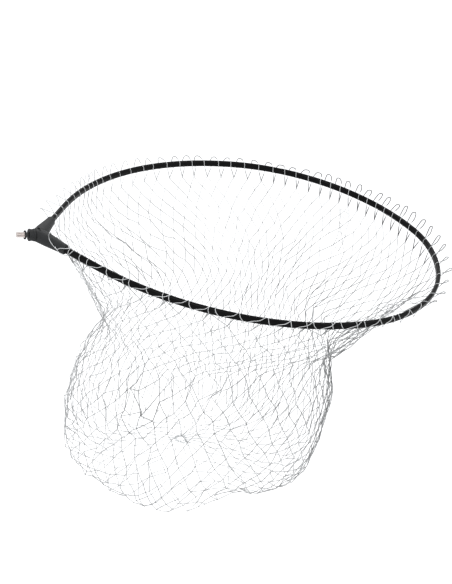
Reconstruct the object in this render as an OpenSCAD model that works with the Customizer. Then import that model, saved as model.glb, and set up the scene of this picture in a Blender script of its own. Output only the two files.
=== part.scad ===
// Landing net head: a bent flat-oval tube hoop held in a moulded spreader block,
// with a threaded stud for the handle and a knotted bag threaded on the hoop.
//
// Frame, in millimetres: the stud axis is X and the hoop lies in the XY plane.
// The origin is the face of the washer, where the handle end seats.
// The stud points along -X, the hoop runs out along +X and the bag hangs along -Z.

/* [Stud] */

// Major diameter of the stud thread, 3/8 inch
stud_d = 9.525; // [6:0.005:12]
// Threaded length in front of the washer
stud_length = 14; // [8:0.5:20]
// Chamfer at the tip of the stud
stud_chamfer = 1; // [0.4:0.1:1.5]
// Diameter of the plain shank behind the thread
shank_d = 8.7; // [5:0.1:8.9]
// Depth of the shank in the block, up to the front of its anchor head
shank_depth = 8; // [6:0.5:9]
// Width of the hexagonal anchor head across its flats
anchor_flats = 13; // [10:0.5:14]
// Thickness of the anchor head
anchor_thickness = 4; // [2:0.5:5]

/* [Washer] */

// Outer diameter of the washer at the root of the thread
washer_d = 15; // [12:0.5:20]
// Thickness of the washer
washer_thickness = 2; // [1:0.1:3]

/* [Spreader block] */

// Gap between the washer and the rim of the block
neck_length = 4.7; // [3:0.1:8]
// Outer diameter of the stem
stem_d = 21; // [19:0.5:24]
// Length of the stem, from its rim to where the arms begin to part
stem_length = 13.5; // [13:0.5:16]
// Depth of the dished end of the stem
dish_depth = 1.6; // [0.5:0.1:3]
// Distance from the rim of the stem to its first groove
groove_start = 6.6; // [4:0.1:8]
// Distance between the two grooves
groove_pitch = 4.2; // [2:0.1:5]
// Width of each groove round the stem
groove_width = 1.3; // [0.6:0.1:2]
// Depth of each groove
groove_depth = 0.8; // [0.3:0.1:1]
// Length along the axis of the recess on top of the block
recess_length = 4; // [2:0.5:5]
// Width across the axis of the recess
recess_width = 11; // [6:0.5:14]
// Depth of the recess
recess_depth = 1.6; // [0.5:0.1:2]
// Distance from the rim of the stem to the middle of the recess
recess_place = 16.7; // [15:0.1:20]
// Length of an arm, from the crossing of the leg lines to its mouth
arm_length = 59; // [50:1:66]
// Half width of an arm where it leaves the stem
arm_root_half = 11.8; // [10:0.1:13]
// Half height of an arm where it leaves the stem
arm_root_rise = 11.2; // [10:0.1:12]
// Moulded wall round the tube at the mouth of an arm, at the sides
mouth_side_wall = 3.2; // [2:0.1:5]
// Moulded wall round the tube at the mouth of an arm, above and below
mouth_top_wall = 2.6; // [2:0.1:4]
// Rounding of the mouth of an arm
mouth_round = 2; // [1:0.1:3]

/* [Hoop] */

// Distance from the washer face to the crossing of the leg lines
leg_cross = 24.2; // [23:0.1:27]
// Angle between each leg and the stud axis
leg_angle = 55; // [50:1:60]
// Length of a straight leg, from the crossing to its bend
leg_length = 125; // [100:1:160]
// Radius of the long bend along each side
side_radius = 430; // [380:1:480]
// Direction of the tube where the side bend ends, from the stud axis
side_end = -6; // [-12:1:0]
// Radius of the round front of the hoop
front_radius = 304; // [270:1:320]
// Direction of the tube where the front bend meets the middle bend
front_end = -80; // [-84:1:-60]
// Height of the flat-oval tube
tube_height = 12; // [10:0.5:13]
// Width of the flat-oval tube
tube_width = 8; // [6:0.5:9]
// Wall of the tube
tube_wall = 1.2; // [0.8:0.1:1.6]
// Distance from the crossing of the leg lines to the end of the tube in its socket
tube_start = 20; // [17:0.5:30]

/* [Retaining pins] */

// Diameter of the pin that holds each leg in its arm
pin_d = 3; // [2:0.5:4]
// Distance from the mouth of the arm to the pin
pin_inset = 20; // [10:1:28]
// Depth of the pin's end below the underside of the arm
pin_recess = 0.8; // [0:0.1:1.5]
// Length of the pin that stands inside the tube
pin_reach = 6; // [3:0.5:8]

/* [Net bag] */

// Meshes round the bag
mesh_columns = 26; // [20:1:28]
// Half rows of mesh from the rim to the base
mesh_rows = 12; // [8:2:12]
// Width of a strand of the net
strand_width = 3.2; // [1.5:0.1:4]
// Thickness of a strand of the net
strand_thickness = 1.8; // [1:0.1:2.5]
// Distance from the mouth of an arm to the first loop on the hoop
first_loop = 8; // [5:1:20]
// Depth below the hoop where the loops meet the meshes
rim_drop = 10; // [9:0.5:14]
// Depth of the bag at its narrow waist
waist_depth = 175; // [150:1:200]
// Half length of the waist
waist_half_length = 210; // [180:1:250]
// Half width of the waist
waist_half_width = 175; // [150:1:210]
// Depth of the widest part of the belly
belly_depth = 385; // [340:1:420]
// Half length of the belly
belly_half_length = 246; // [220:1:270]
// Half width of the belly
belly_half_width = 195; // [170:1:220]
// Depth of the bag at its base
bag_depth = 478; // [440:1:520]
// Height by which the middle of the base is drawn up
base_tuck = 33; // [10:1:60]
// Radius of the gathered ring at the middle of the base
gather_radius = 24; // [15:1:40]
// Distance from the washer face to the middle of the bag
bag_centre = 380; // [350:1:410]
// Depth of the deep lobe of the base towards the stud
lobe_drop = 28; // [0:1:40]
// Height of the fold between the two lobes
fold_rise = 22; // [0:1:30]
// Thickness of the drawstring at the base
tie_d = 3; // [2:0.5:5]

/* [Fits] */

// Clearance between a leg and its socket, on each side
socket_gap = 0.1; // [0.05:0.01:0.3]
// Clearance round moulded-in and pressed metal
press_gap = 0.02; // [0:0.01:0.05]
// Clearance between the net and what it hangs on
net_gap = 0.3; // [0.2:0.05:0.6]

/* [Hidden] */

round_sides = 240;
eps = 0.01;
// Length by which one bend of the hoop runs into the next, and the swell of the outline in it
bend_lap = 0.5;
bend_swell = 0.02;

// Places along the stud axis
block_front = washer_thickness + neck_length;
anchor_front = block_front + shank_depth;
anchor_back = anchor_front + anchor_thickness;
stem_back = block_front + stem_length;

// Half sizes of an arm at its mouth
mouth_half = tube_width / 2 + mouth_side_wall;
mouth_rise = tube_height / 2 + mouth_top_wall;

// Height of the centre of each round edge of the flat-oval tube
tube_flat = (tube_height - tube_width) / 2;

// ---- Plan of the hoop ----

function heading(a) = [cos(a), sin(a)];
function right_of(a) = [sin(a), -cos(a)];
function solid_point(p, z) = [p[0], p[1], z];
function arc_centre(p, a, r) = p + r * right_of(a);
function arc_point(c, a, r) = c - r * right_of(a);

leg_end = [leg_cross, 0] + leg_length * heading(leg_angle);
side_centre = arc_centre(leg_end, leg_angle, side_radius);
side_stop = arc_point(side_centre, side_end, side_radius);
front_centre = arc_centre(side_stop, side_end, front_radius);
front_stop = arc_point(front_centre, front_end, front_radius);
middle_radius = front_stop[1] / cos(front_end);
middle_centre = arc_centre(front_stop, front_end, middle_radius);

function arc_length(r, turn) = r * turn * PI / 180;
function arc_turn(r, length) = length / r * 180 / PI;

loop_start = arm_length + first_loop;
leg_run = leg_length - loop_start;
side_run = leg_run + arc_length(side_radius, leg_angle - side_end);
front_run = side_run + arc_length(front_radius, side_end - front_end);
half_run = front_run + arc_length(middle_radius, front_end + 90);

// Heading of the left half of the hoop at a length from its first loop
function half_heading(s) =
    s <= leg_run ? leg_angle
    : s <= side_run ? leg_angle - arc_turn(side_radius, s - leg_run)
    : s <= front_run ? side_end - arc_turn(front_radius, s - side_run)
    : front_end - arc_turn(middle_radius, s - front_run);

// Point of the left half of the hoop at a length from its first loop
function half_point(s) =
    s <= leg_run ? [leg_cross, 0] + (loop_start + s) * heading(leg_angle)
    : s <= side_run ? arc_point(side_centre, half_heading(s), side_radius)
    : s <= front_run ? arc_point(front_centre, half_heading(s), front_radius)
    : arc_point(middle_centre, half_heading(s), middle_radius);

function mirrored(p) = [p[0], -p[1]];
function run_point(s) = s <= half_run ? half_point(s) : mirrored(half_point(2 * half_run - s));
function run_inward(s) =
    s <= half_run ? right_of(half_heading(s)) : mirrored(right_of(half_heading(2 * half_run - s)));

// ---- Surface of the bag ----

// Columns are counted along the rim, from the left arm round the front to the right arm.
// The last column closes the rim across the block.
function column_run(t) = t / (mesh_columns - 1) * 2 * half_run;
function mix(a, b, k) = a * (1 - k) + b * k;
function smooth(k) = let(c = max(0, min(1, k))) c * c * (3 - 2 * c);
function wrapped(t) = t < 0 ? t + mesh_columns : t >= mesh_columns ? t - mesh_columns : t;

near_offset = tube_width / 2 + net_gap;
far_offset = near_offset + strand_thickness;

function rim_at(s, offset) = run_point(s) + offset * run_inward(s);
function rim_point(t, offset = near_offset) =
    t <= mesh_columns - 1 ? rim_at(column_run(t), offset)
    : mix(rim_at(2 * half_run, offset), rim_at(0, offset), t - mesh_columns + 1);

// Each level: share of the way down, depth, middle, half length, half width
levels = [
    [0.00, rim_drop, bag_centre + 15, 360, 275],
    [0.17, mix(rim_drop, waist_depth, 0.45), bag_centre + 20,
        waist_half_length + 72, waist_half_width + 37],
    [0.34, waist_depth, bag_centre + 14, waist_half_length, waist_half_width],
    [0.52, mix(waist_depth, belly_depth, 0.52), bag_centre + 6,
        belly_half_length - 2, belly_half_width - 3],
    [0.68, belly_depth, bag_centre, belly_half_length, belly_half_width],
    [0.80, mix(belly_depth, bag_depth, 0.72), bag_centre - 4,
        belly_half_length * 0.92, belly_half_width * 0.88],
    [0.91, bag_depth, bag_centre - 8, belly_half_length * 0.57, belly_half_width * 0.54],
    [1.00, bag_depth - base_tuck, bag_centre - 10, gather_radius, gather_radius]
];
last_level = len(levels) - 1;

function slope(i, c) =
    let(a = levels[max(i - 1, 0)], b = levels[min(i + 1, last_level)]) (b[c] - a[c]) / (b[0] - a[0]);
function level_below(v, i = 0) = i >= last_level - 1 || v < levels[i + 1][0] ? i : level_below(v, i + 1);

// One column of the levels, carried smoothly from level to level
function at_level(v, c) =
    let(
        i = level_below(v),
        span = levels[i + 1][0] - levels[i][0],
        k = (v - levels[i][0]) / span
    )
    (2 * k ^ 3 - 3 * k ^ 2 + 1) * levels[i][c] + (k ^ 3 - 2 * k ^ 2 + k) * span * slope(i, c)
    + (3 * k ^ 2 - 2 * k ^ 3) * levels[i + 1][c] + (k ^ 3 - k ^ 2) * span * slope(i + 1, c);

function rounded(x) = sign(x) * abs(x) ^ 0.85;
function bump(x, middle, spread) = exp(-((x - middle) / spread) ^ 2);

// Two lobes of the base, with the fold between them
function lobes(x, v) =
    smooth((v - 0.6) / 0.3) * min(1, (1 - v) / 0.12)
    * (lobe_drop * bump(x, bag_centre - 80, 75) - fold_rise * bump(x, bag_centre + 35, 45)
        + 0.45 * lobe_drop * bump(x, bag_centre + 145, 60));

function bag_point(column, v) =
    let(
        t = wrapped(column),
        turn = 180 - 360 * (t + 0.5) / mesh_columns,
        section = [
            at_level(v, 2) + at_level(v, 3) * rounded(cos(turn)),
            at_level(v, 4) * rounded(sin(turn))
        ],
        p = mix(rim_point(t), section, smooth(v / levels[2][0]))
    )
    solid_point(p, -at_level(v, 1) - lobes(p[0], v));

function unit(v) = v / norm(v);

// The inner face of the net lies one strand thickness inside the outer face
function bag_inward(column, v) =
    let(
        across = bag_point(column + 0.25, v) - bag_point(column - 0.25, v),
        down = bag_point(column, min(1, v + 0.02)) - bag_point(column, max(0, v - 0.02))
    )
    v == 0 ? solid_point(run_inward(column_run(column)), 0)
    : v == 1 ? [0, 0, 1]
    : unit(cross(down, across));

// ---- Meshes of the bag ----

function row_column(j, i) = i + (j % 2) / 2;
function knot(j, i) = bag_point(row_column(j, i), j / mesh_rows);
function knot_inner(j, i) =
    knot(j, i) + strand_thickness * bag_inward(row_column(j, i), j / mesh_rows);

function next(i) = (i + 1) % mesh_columns;
function previous(i) = (i + mesh_columns - 1) % mesh_columns;

// Corners of a mesh as [row, column]: top, right, bottom, left
function corners(j, i) = [
    [j, i],
    [j + 1, j % 2 == 0 ? i : next(i)],
    [j + 2, i],
    [j + 1, j % 2 == 0 ? previous(i) : i]
];

function middle_of(p) = (p[0] + p[1] + p[2] + p[3]) / 4;

// Share of a mesh that stays open once each strand has its width
function open_share(p) =
    let(a = norm(p[0] - p[2]) / 2, b = norm(p[1] - p[3]) / 2, reach = a * b / norm([a, b]))
    max(0.2, 1 - strand_width / 2 / reach);

function opening_of(p) =
    let(c = middle_of(p), k = open_share(p)) [for (q = p) c + k * (q - c)];

knot_rows = mesh_rows + 1;
knot_count = knot_rows * mesh_columns;
mesh_lines = mesh_rows - 1;
mesh_count = mesh_lines * mesh_columns;

outer_knots = [for (j = [0:mesh_rows], i = [0:mesh_columns - 1]) knot(j, i)];
inner_knots = [for (j = [0:mesh_rows], i = [0:mesh_columns - 1]) knot_inner(j, i)];

function knot_index(q) = q[0] * mesh_columns + q[1];
function mesh_corners(list, j, i) = [for (q = corners(j, i)) list[knot_index(q)]];

outer_openings = [for (j = [0:mesh_lines - 1], i = [0:mesh_columns - 1])
    each opening_of(mesh_corners(outer_knots, j, i))];
inner_openings = [for (j = [0:mesh_lines - 1], i = [0:mesh_columns - 1])
    each opening_of(mesh_corners(inner_knots, j, i))];

// Section of a rim loop over the tube, as [inward, up] for a given distance from the tube
loop_steps = 6;
function loop_path(r) = concat(
    [[r, tube_flat]],
    [for (k = [1:loop_steps]) [r * cos(k * 180 / loop_steps), tube_flat + r * sin(k * 180 / loop_steps)]],
    [[-r, -tube_flat]]
);
loop_rings = loop_steps + 2;
near_path = loop_path(near_offset);
far_path = loop_path(far_offset);

function rim_frame(i) = [run_point(column_run(i)), run_inward(column_run(i))];
function loop_place(frame, q, side) =
    solid_point(frame[0] + q[0] * frame[1] + side * strand_width / 2 * [-frame[1][1], frame[1][0]], q[1]);

// Four corners of a loop at each step: near left, near right, far right, far left
function loop_ring(i, near, far) =
    let(f = rim_frame(i))
    [loop_place(f, near, -1), loop_place(f, near, 1), loop_place(f, far, 1), loop_place(f, far, -1)];
loop_points = [for (i = [0:mesh_columns - 1]) each concat(
    loop_ring(i, [near_offset, -rim_drop], [far_offset, -rim_drop]),
    [for (k = [0:loop_rings - 1]) each loop_ring(i, near_path[k], far_path[k])]
)];
loop_size = 4 * (loop_rings + 1);

outer_base = 0;
inner_base = knot_count;
outer_open_base = 2 * knot_count;
inner_open_base = outer_open_base + 4 * mesh_count;
loop_base = inner_open_base + 4 * mesh_count;
cap_base = loop_base + loop_size * mesh_columns;

function loop_vertex(i, ring, corner) = loop_base + i * loop_size + 4 * ring + corner;
function quad(a, b, c, d) = [[a, b, c], [a, c, d]];
function flipped(faces) = [for (f = faces) [f[2], f[1], f[0]]];

// Top corner of a mesh, which is split where a rim loop leaves it
function corner_ends(base, j, i, k) =
    let(q = corners(j, i)[k])
    j == 0 && k == 0
    ? (base == outer_base ? [loop_vertex(i, 0, 0), loop_vertex(i, 0, 1)]
                          : [loop_vertex(i, 0, 3), loop_vertex(i, 0, 2)])
    : [base + knot_index(q), base + knot_index(q)];

function mesh_face(base, open_base, j, i) =
    let(o = open_base + 4 * (j * mesh_columns + i))
    [for (k = [0:3]) let(
            n = (k + 1) % 4,
            a = corner_ends(base, j, i, k)[1],
            b = corner_ends(base, j, i, n)[0],
            tip = corner_ends(base, j, i, k)
        )
        each concat(quad(a, b, o + n, o + k), tip[0] == tip[1] ? [] : [[tip[0], tip[1], o + k]])];

function mesh_walls(j, i) =
    let(o = outer_open_base + 4 * (j * mesh_columns + i), p = o + inner_open_base - outer_open_base)
    [for (k = [0:3]) let(n = (k + 1) % 4) each quad(o + k, o + n, p + n, p + k)];

// Closed edge along the top of the first row of meshes
function rim_walls(i) = concat(
    quad(inner_base + knot_index([1, i]), outer_base + knot_index([1, i]),
        loop_vertex(i, 0, 1), loop_vertex(i, 0, 2)),
    quad(loop_vertex(i, 0, 3), loop_vertex(i, 0, 0),
        outer_base + knot_index([1, previous(i)]), inner_base + knot_index([1, previous(i)]))
);

function loop_faces(i) = concat(
    [for (r = [0:loop_rings - 1], k = [0:3]) let(n = (k + 1) % 4)
        each quad(loop_vertex(i, r, n), loop_vertex(i, r, k), loop_vertex(i, r + 1, k), loop_vertex(i, r + 1, n))],
    quad(loop_vertex(i, loop_rings, 3), loop_vertex(i, loop_rings, 2),
        loop_vertex(i, loop_rings, 1), loop_vertex(i, loop_rings, 0))
);

// Solid edge round the gathered base
function base_faces(base, i, centre) = [
    [base + knot_index([mesh_rows - 1, i]), base + knot_index([mesh_rows, next(i)]),
        base + knot_index([mesh_rows, i])],
    [base + knot_index([mesh_rows, i]), base + knot_index([mesh_rows, next(i)]), centre]
];

function ring_middle(base_list) =
    let(last = [for (i = [0:mesh_columns - 1]) base_list[knot_index([mesh_rows, i])]])
    [for (c = [0:2]) sum_of([for (p = last) p[c]]) / mesh_columns];
function sum_of(list, i = 0) = i >= len(list) ? 0 : list[i] + sum_of(list, i + 1);

bag_points = concat(outer_knots, inner_knots, outer_openings, inner_openings, loop_points,
    [ring_middle(outer_knots), ring_middle(inner_knots)]);

bag_faces = [
    for (j = [0:mesh_lines - 1], i = [0:mesh_columns - 1]) each concat(
        mesh_face(outer_base, outer_open_base, j, i),
        flipped(mesh_face(inner_base, inner_open_base, j, i)),
        mesh_walls(j, i)
    ),
    for (i = [0:mesh_columns - 1]) each concat(
        rim_walls(i),
        loop_faces(i),
        base_faces(outer_base, i, cap_base),
        flipped(base_faces(inner_base, i, cap_base + 1))
    )
];

// ---- Spreader block ----

arm_sides = 32;
bend_steps = 7;
bend_reach = 9;
bend_start = [leg_cross - bend_reach, 0];
bend_stop = [leg_cross, 0] + bend_reach * heading(leg_angle);

function bend_point(k) =
    mix(mix(bend_start, [leg_cross, 0], k), mix([leg_cross, 0], bend_stop, k), k);

// Stations of an arm: middle, heading, half width, half height
function arm_taper(s) = smooth((s - bend_reach) / (arm_length - bend_reach) * 0.85 + 0.08);
function straight_station(s, shrink = 0) = [
    [leg_cross, 0] + s * heading(leg_angle),
    leg_angle,
    mix(arm_root_half, mouth_half, arm_taper(s)) - shrink,
    mix(arm_root_rise, mouth_rise, arm_taper(s)) - shrink
];
stations = concat(
    [[[leg_cross - bend_reach - 3, 0], 0, stem_d / 2 - 1.2, stem_d / 2 - 1.2]],
    [for (k = [0:bend_steps - 1]) [
        bend_point(k / bend_steps),
        leg_angle * k / bend_steps,
        mix(stem_d / 2 - 0.4, arm_root_half, smooth(k / (bend_steps - 1))),
        mix(stem_d / 2 - 0.4, arm_root_rise, smooth(k / (bend_steps - 1)))
    ]],
    [for (k = [0:7]) straight_station(mix(bend_reach, arm_length - mouth_round, k / 7))],
    [for (a = [30, 60, 80]) straight_station(arm_length - mouth_round * (1 - sin(a)), mouth_round * (1 - cos(a)))]
);

function softened(x) = sign(x) * abs(x) ^ 0.82;
function station_ring(st) = [for (k = [0:arm_sides - 1])
    let(a = 360 * k / arm_sides)
    solid_point(st[0] + st[2] * softened(cos(a)) * right_of(st[1]), st[3] * softened(sin(a)))];

arm_points = [for (st = stations) each station_ring(st)];
arm_last = len(stations) - 1;
arm_faces = concat(
    [for (r = [0:arm_last - 1], k = [0:arm_sides - 1]) let(n = (k + 1) % arm_sides)
        each quad(r * arm_sides + k, r * arm_sides + n, (r + 1) * arm_sides + n, (r + 1) * arm_sides + k)],
    [for (k = [1:arm_sides - 2]) [0, k + 1, k]],
    [for (k = [1:arm_sides - 2]) let(o = arm_last * arm_sides) [o, o + k, o + k + 1]]
);

// Half profile of the stem as [radius, place], with the dished end and its rolled rim
rim_half = 1.6;
stem_profile = [
    [0, block_front + dish_depth],
    [stem_d / 2 - 2 * rim_half - 1.2, block_front + dish_depth],
    [stem_d / 2 - 2 * rim_half + 0.6, block_front + dish_depth * 0.45],
    [stem_d / 2 - rim_half * 0.9, block_front],
    [stem_d / 2 - 0.3, block_front + 0.3],
    [stem_d / 2, block_front + rim_half],
    [stem_d / 2 - 0.25, block_front + 2 * rim_half],
    [stem_d / 2 - 0.7, block_front + 2.6 * rim_half],
    [stem_d / 2 - 0.4, block_front + stem_length * 0.7],
    [stem_d / 2 - 0.4, stem_back],
    [0, stem_back]
];

module along_axis(x) translate([x, 0, 0]) rotate([0, 90, 0]) children();

module stem() {
    rotate([0, 90, 0])
        rotate_extrude($fn = round_sides)
            polygon([for (p = stem_profile) [p[0], p[1]]]);
}

module stem_grooves() {
    for (k = [0, 1])
        along_axis(block_front + groove_start + k * groove_pitch - groove_width / 2)
            difference() {
                cylinder(d = stem_d + 4, h = groove_width, $fn = round_sides);
                translate([0, 0, -eps])
                    cylinder(d = stem_d - 2 * groove_depth, h = groove_width + 2 * eps, $fn = round_sides);
            }
}

module top_recess() {
    top = mix(stem_d / 2, arm_root_rise, 0.6);
    translate([block_front + recess_place, 0, top - recess_depth])
        linear_extrude(height = 2 * recess_depth + 2)
            for (side = [-1, 1], part = [0, 1])
                if (part == 0)
                    translate([0, side * (recess_width - recess_length) / 2])
                        circle(d = recess_length, $fn = 48);
                else
                    square([recess_length, recess_width - recess_length], center = true);
}

module arm() polyhedron(points = arm_points, faces = arm_faces, convexity = 6);

// Flat-oval outline in the plane across the tube: width along X, height along Y
module tube_outline(grow = 0) {
    square([tube_width + 2 * grow, 2 * tube_flat], center = true);
    for (side = [-1, 1])
        translate([0, side * tube_flat])
            circle(d = tube_width + 2 * grow, $fn = 48);
}

// Straight length of the flat-oval outline along a leg
module leg_run_solid(from, to, grow = 0)
    translate([leg_cross, 0, 0])
        rotate([0, 0, leg_angle])
            translate([from, 0, 0])
                rotate([90, 0, 90])
                    linear_extrude(height = to - from)
                        tube_outline(grow);

module anchor_shape(gap = 0) {
    along_axis(block_front)
        cylinder(d = shank_d + 2 * gap, h = shank_depth + eps, $fn = round_sides);
    along_axis(anchor_front - gap)
        cylinder(d = (anchor_flats + 2 * gap) / cos(30), h = anchor_thickness + 2 * gap, $fn = 6);
}

function pin_place() = [leg_cross, 0] + (arm_length - pin_inset) * heading(leg_angle);
// Underside of an arm at the pin
pin_under = mix(arm_root_rise, mouth_rise, arm_taper(arm_length - pin_inset));
pin_top = -tube_height / 2 + tube_wall + pin_reach;

module pin_hole(gap)
    translate(solid_point(pin_place(), -pin_under - 2))
        cylinder(d = pin_d + 2 * gap, h = pin_top + gap + pin_under + 2, $fn = 64);

module both_sides() {
    children();
    mirror([0, 1, 0]) children();
}

module spreader_block() {
    color("#35373a")
        difference() {
            union() {
                stem();
                both_sides() arm();
            }
            stem_grooves();
            top_recess();
            anchor_shape(press_gap);
            both_sides() {
                leg_run_solid(tube_start, arm_length + 10, socket_gap);
                pin_hole(press_gap);
            }
        }
}

// ---- Metal parts ----

module stud() {
    color("#b9b3ae")
        union() {
            along_axis(-stud_length)
                cylinder(d1 = stud_d - 2 * stud_chamfer, d2 = stud_d, h = stud_chamfer, $fn = round_sides);
            along_axis(stud_chamfer - stud_length)
                cylinder(d = stud_d, h = stud_length - stud_chamfer, $fn = round_sides);
            along_axis(-eps)
                cylinder(d = shank_d, h = block_front + 2 * eps, $fn = round_sides);
            anchor_shape();
        }
}

module stud_washer() {
    color("#26282a")
        along_axis(0)
            difference() {
                cylinder(d = washer_d, h = washer_thickness, $fn = round_sides);
                translate([0, 0, -1])
                    cylinder(d = shank_d + 2 * press_gap, h = washer_thickness + 2, $fn = round_sides);
            }
}

// Bend of the hoop between two headings, about its own centre
module bend(centre, r, from, to, grow = 0)
    translate(solid_point(centre, 0))
        rotate([0, 0, 90 + to])
            rotate_extrude(angle = from - to, $fn = round_sides)
                translate([r, 0])
                    tube_outline(grow);

// One side of the hoop: its leg, side bend and front bend
module half_hoop(grow = 0) {
    leg_run_solid(tube_start, leg_length + bend_lap, grow);
    bend(side_centre, side_radius, leg_angle, side_end, grow + bend_swell);
    bend(front_centre, front_radius, side_end + arc_turn(front_radius, bend_lap),
         front_end - arc_turn(front_radius, bend_lap), grow);
}

module whole_hoop(grow = 0) {
    both_sides() half_hoop(grow);
    bend(middle_centre, middle_radius, front_end, -180 - front_end, grow + bend_swell);
}

module hoop_tube() {
    color("#2a2b2d")
        difference() {
            whole_hoop();
            whole_hoop(-tube_wall);
            both_sides() {
                leg_run_solid(tube_start - 1, tube_start + 2, -tube_wall);
                pin_hole(press_gap);
            }
        }
}

module leg_pin() {
    color("#8c8f92")
        translate(solid_point(pin_place(), -pin_under + pin_recess))
            cylinder(d = pin_d, h = pin_top + pin_under - pin_recess, $fn = 64);
}

module leg_pin_left() leg_pin();

module leg_pin_right() mirror([0, 1, 0]) leg_pin();

// ---- Net ----

module net_bag() {
    color("#c9cccd") polyhedron(points = bag_points, faces = flipped(bag_faces), convexity = 20);
}

// Drawstring under the gathered ring of the base
module base_tie() {
    color("#b4b8ba")
        translate([at_level(1, 2), 0, -at_level(1, 1) - net_gap - tie_d / 2])
            rotate_extrude($fn = 96)
                translate([gather_radius - tie_d, 0])
                    circle(d = tie_d, $fn = 24);
}

spreader_block();
stud();
stud_washer();
hoop_tube();
leg_pin_left();
leg_pin_right();
net_bag();
base_tie();
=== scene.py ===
import math

import bpy
import numpy as np
from mathutils import Matrix, Vector


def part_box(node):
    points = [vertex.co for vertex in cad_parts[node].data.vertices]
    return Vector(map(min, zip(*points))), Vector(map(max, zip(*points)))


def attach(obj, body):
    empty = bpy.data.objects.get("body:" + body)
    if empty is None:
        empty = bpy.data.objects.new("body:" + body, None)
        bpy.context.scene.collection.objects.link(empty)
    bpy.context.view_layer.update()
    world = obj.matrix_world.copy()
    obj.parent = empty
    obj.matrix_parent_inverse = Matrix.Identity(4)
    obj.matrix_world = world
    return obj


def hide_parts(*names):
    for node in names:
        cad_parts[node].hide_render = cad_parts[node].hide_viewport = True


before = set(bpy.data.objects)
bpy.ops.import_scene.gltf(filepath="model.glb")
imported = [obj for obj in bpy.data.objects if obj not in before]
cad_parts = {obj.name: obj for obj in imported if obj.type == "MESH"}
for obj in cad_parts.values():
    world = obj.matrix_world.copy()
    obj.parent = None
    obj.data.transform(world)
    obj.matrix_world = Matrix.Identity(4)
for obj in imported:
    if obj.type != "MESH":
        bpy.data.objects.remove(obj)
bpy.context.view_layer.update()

bl_info = {
    "name": "Landing Net Head",
    "version": (1, 0, 0),
    "blender": (4, 5, 0),
    "location": "View3D > Sidebar > Landing Net",
    "description": "Dresses a landing net head: hoop, spreader block, threaded stud and monofilament bag",
    "category": "Add Mesh",
}

MM = 0.001
BODY = "root"


# ---- Sizes and colours ----


def length(name, description, default):
    """Length, given in millimetres"""
    return bpy.props.FloatProperty(
        name=name, description=description, default=default * MM, unit="LENGTH", precision=5)


def angle(name, description, default):
    """Angle, given in degrees"""
    return bpy.props.FloatProperty(
        name=name, description=description, default=math.radians(default), subtype="ANGLE")


def tint(name, description, default):
    return bpy.props.FloatVectorProperty(
        name=name, description=description, default=(*default, 1), subtype="COLOR", size=4)


class HoopPlan(bpy.types.PropertyGroup):
    """Centre line of the hoop, as bent from one tube"""

    leg_cross: length("Leg crossing", "Distance from the washer face to where the legs would cross", 24.2)
    leg_angle: angle("Leg angle", "Angle between a leg and the stud axis", 55)
    leg_length: length("Leg length", "Straight length of a leg from the crossing", 125)
    side_radius: length("Side radius", "Radius of the long bend along each side", 430)
    side_end: angle("Side end", "Direction of the tube where the side bend ends", -6)
    front_radius: length("Front radius", "Radius of the bend at each front corner", 304)
    front_end: angle("Front end", "Direction of the tube where the front bend ends", -80)
    arm_length: length("Arm length", "Length of an arm of the block from the crossing", 59)
    tube_width: length("Tube width", "Width of the flat-oval tube", 8)
    tube_height: length("Tube height", "Height of the flat-oval tube", 12)


class NetSizes(bpy.types.PropertyGroup):
    """Sizes of the netting"""

    strand: length("Strand", "Thickness of the monofilament", 1.1)
    loop_strand: length("Rim strand", "Thickness of the strands of the rim loops", 1.3)
    knot: length("Knot", "Size of a knot", 2.0)
    rim_loops: bpy.props.IntProperty(
        name="Rim loops", description="Meshes threaded on the hoop", default=64, min=20)
    free_loops: bpy.props.IntProperty(
        name="Free loops", description="Meshes that span the gap between the arms", default=4, min=1)
    rows: bpy.props.IntProperty(
        name="Half rows", description="Half rows of meshes from the rim to the gathered base", default=30, min=10)
    rim_drop: length("Rim drop", "Depth of the first row of knots below the hoop", 24)
    waviness: length("Waviness", "Height of the shallow folds of the netting", 2.2)
    bunching: bpy.props.FloatProperty(
        name="Bunching", description="How much closer the meshes hang on the far side than on the near side",
        default=0.32)
    seam: bpy.props.FloatProperty(
        name="Seam", description="Share of the way round at which the netting is joined", default=0.455)
    scatter: length("Scatter", "How far the knots stray from an even net", 2.4)
    kink: length("Kink", "How far a strand bows between two knots", 0.9)
    loop_scale: bpy.props.FloatProperty(
        name="Loop scale", description="Size of the rim loops, as a multiple of the table of loop tips", default=1)


class StudSizes(bpy.types.PropertyGroup):
    """Sizes of the threaded stud"""

    diameter: length("Diameter", "Outside diameter of the thread", 9.525)
    pitch: length("Pitch", "Distance from one turn of the thread to the next", 1.27)
    depth: length("Depth", "Depth of the thread", 0.72)
    shank: length("Shank", "Diameter of the plain shank", 8.7)
    thread: length("Thread", "Length of the thread in front of the washer", 14)
    chamfer: length("Chamfer", "Size of the chamfer at the tip", 1)
    anchor: length("Anchor", "Length of the hexagonal anchor", 4)


class Finishes(bpy.types.PropertyGroup):
    """Colours of the finishes"""

    plastic: tint("Block plastic", "Colour of the moulded block", (0.020, 0.021, 0.022))
    tube: tint("Tube", "Colour of the anodised tube", (0.004, 0.004, 0.0044))
    steel: tint("Stud steel", "Colour of the plated stud", (0.62, 0.57, 0.55))
    rubber: tint("Washer rubber", "Colour of the washer", (0.022, 0.022, 0.022))
    # The twine's colour is mixed from the first of these towards the second by its painted light and shade
    strand: tint("Monofilament", "Colour of the clear monofilament where it is palest", (0.72, 0.73, 0.73))
    strand_painted_dark: tint(
        "Dark monofilament", "Colour of the monofilament where it looks darkest", (0.018, 0.019, 0.020))
    floor: tint("Floor", "Colour of the floor", (0.86, 0.86, 0.86))


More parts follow.
